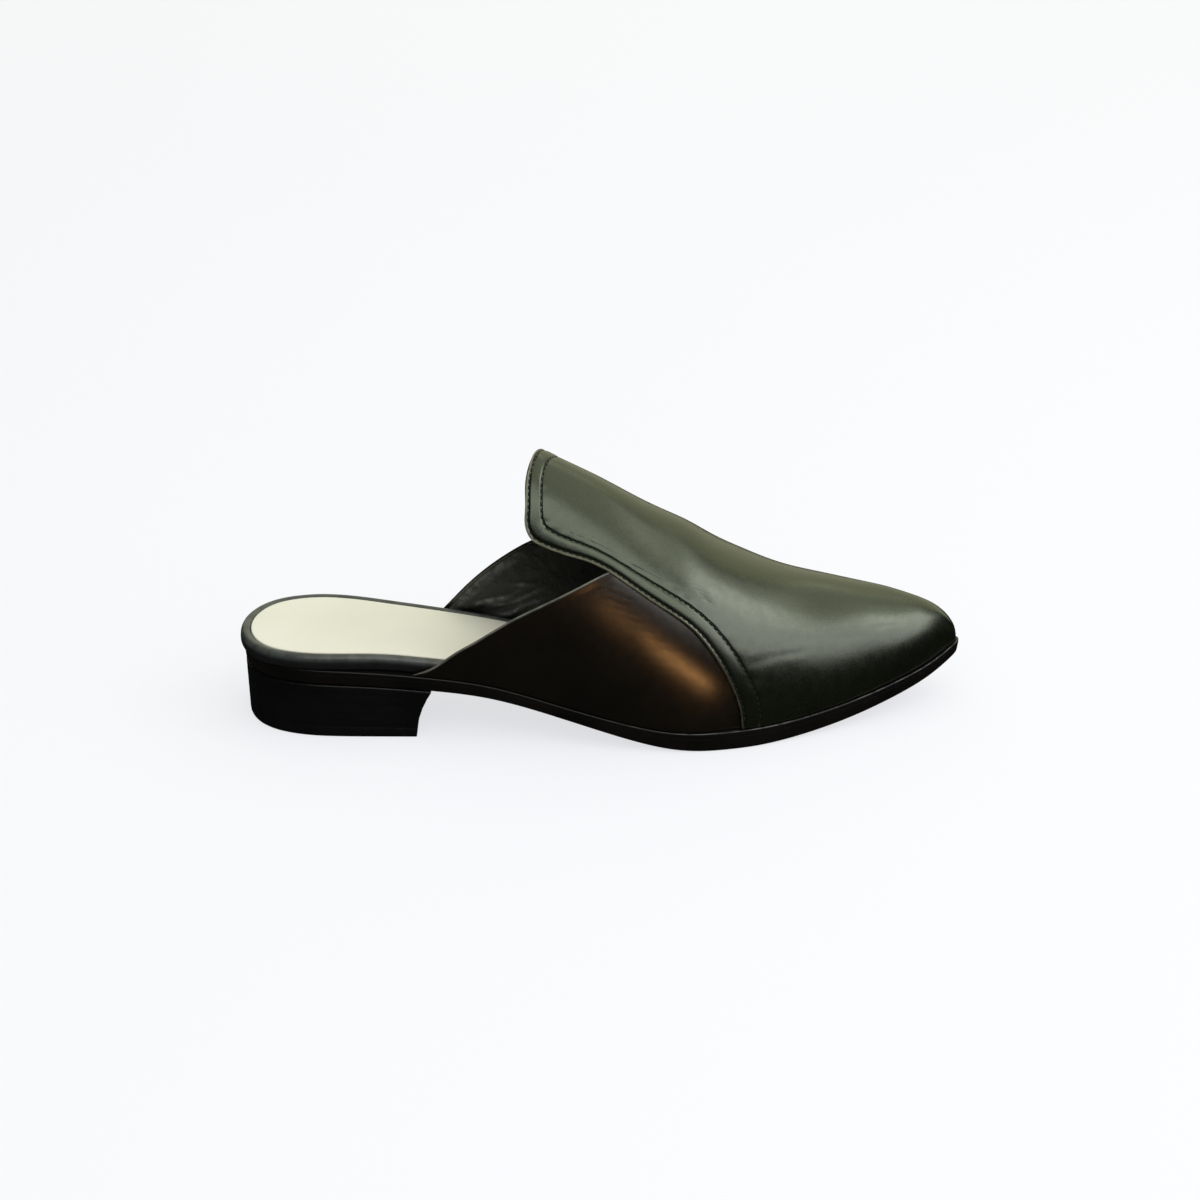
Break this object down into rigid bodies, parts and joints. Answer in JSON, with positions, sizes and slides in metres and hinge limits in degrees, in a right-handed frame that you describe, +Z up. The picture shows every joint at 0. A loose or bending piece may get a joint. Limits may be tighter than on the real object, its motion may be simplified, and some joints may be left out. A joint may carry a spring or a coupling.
{
  "type": "leather mule",
  "caption": "Black leather mule for the right foot: pointed toe, raised tongue over low quarters, open back, low block heel and a cream sock.",
  "frame": {"origin": "on the floor, at the middle of the shoe's length and width", "axes": "+X toward the toe, -Y the outer side of the right foot, +Z up"},
  "size_m": [0.2604, 0.0798, 0.0985],
  "materials": {
    "sole_leather": "black edge ink, satin",
    "heel_stack": "black polished stack",
    "rim_leather": "soft black leather over padding",
    "sock_leather": "cream sock leather, matt",
    "quarter_leather": "smooth black calf, soft gloss",
    "vamp_leather": "smooth black calf with an olive cast, soft gloss"
  },
  "bodies": {
    "root": {"outsole": "sole_leather", "heel": "heel_stack", "insole": "rim_leather", "sock": "sock_leather", "upper": "quarter_leather", "vamp": "vamp_leather"}
  },
  "joints": []
}
